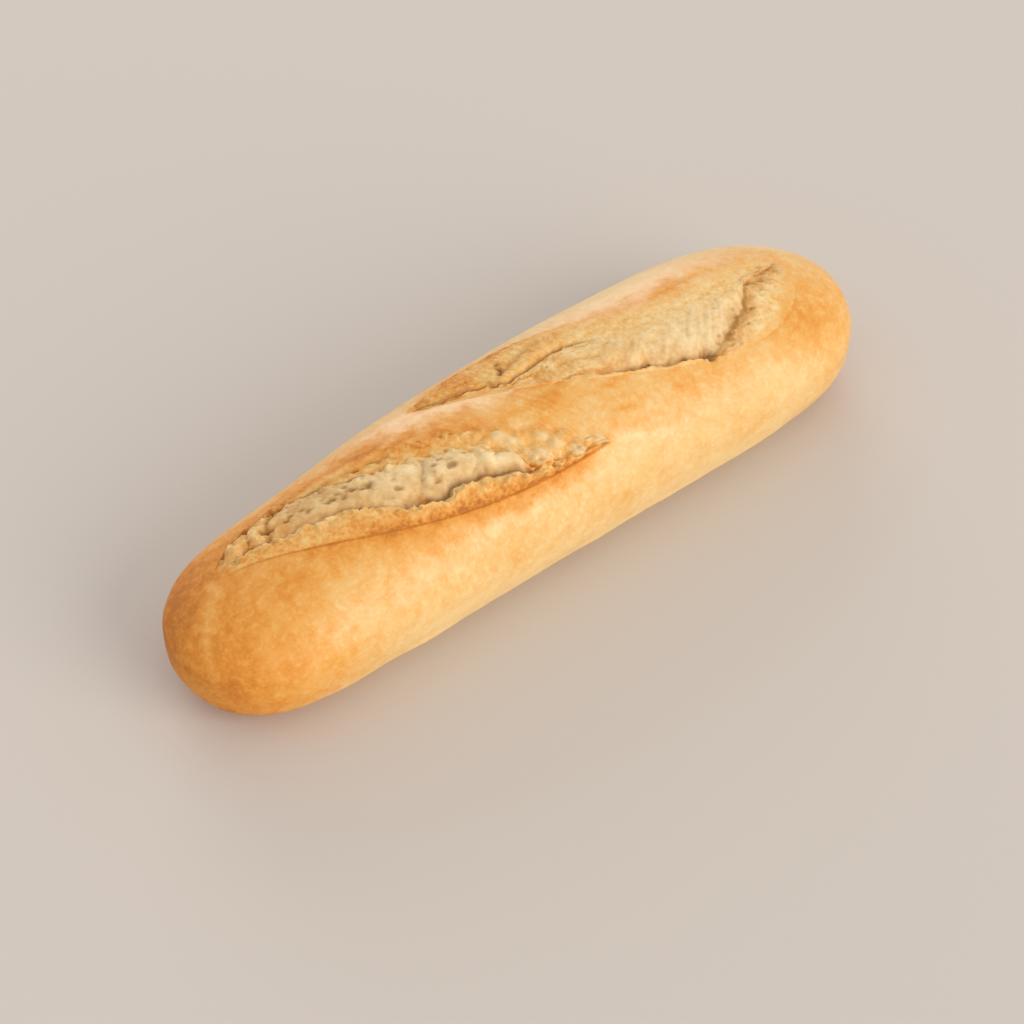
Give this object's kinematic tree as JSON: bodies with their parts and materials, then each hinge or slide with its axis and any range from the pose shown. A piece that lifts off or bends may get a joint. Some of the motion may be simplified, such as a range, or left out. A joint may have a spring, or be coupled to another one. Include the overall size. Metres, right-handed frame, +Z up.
{
  "type": "white baton loaf",
  "caption": "Blunt-ended white bread baton with a golden crust, slanting scores torn open to pale crumb on its back, and a flat sole to rest on.",
  "frame": {"origin": "middle of the loaf's box, on the surface that the flat sole rests on", "axes": "+X along the loaf to its fuller end, +Y to the side away from the open near score, +Z up"},
  "size_m": [0.28, 0.077, 0.0557],
  "materials": {
    "crust": "satin golden crust with pale rough crumb in the torn scores"
  },
  "bodies": {
    "root": {"loaf": "crust"}
  },
  "joints": []
}
